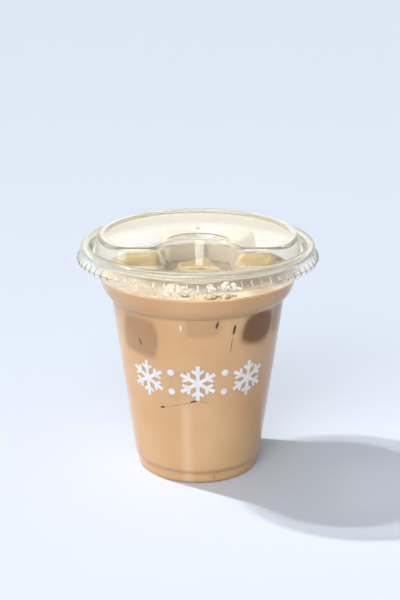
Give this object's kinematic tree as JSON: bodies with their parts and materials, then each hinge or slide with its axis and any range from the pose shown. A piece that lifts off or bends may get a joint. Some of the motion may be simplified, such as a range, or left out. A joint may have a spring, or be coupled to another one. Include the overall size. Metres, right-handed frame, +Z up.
{
  "type": "iced mocha in a lidded takeaway cup",
  "caption": "Clear plastic takeaway cup of iced milky mocha with floating ice, closed by a clear moulded sip lid with a recess for the lips",
  "frame": {"origin": "middle of the circle that the cup stands on", "axes": "+Z up along the cup's axis, -Y to the front where the mouth recess of the lid is, +X to the right"},
  "size_m": [0.1024, 0.1024, 0.104],
  "materials": {
    "clear_cup": "clear thermoformed plastic sheet, smooth and glossy",
    "clear_lid": "clear thermoformed plastic sheet, smooth and glossy",
    "mocha": "opaque milky coffee, a wet smooth surface",
    "ice": "melting ice coated with milky coffee"
  },
  "bodies": {
    "root": {"cup": "clear_cup", "lid": "clear_lid", "drink": "mocha", "ice_left": "ice", "ice_rear_left": "ice", "ice_rear_right": "ice", "ice_right": "ice", "ice_middle": "ice"}
  },
  "joints": []
}
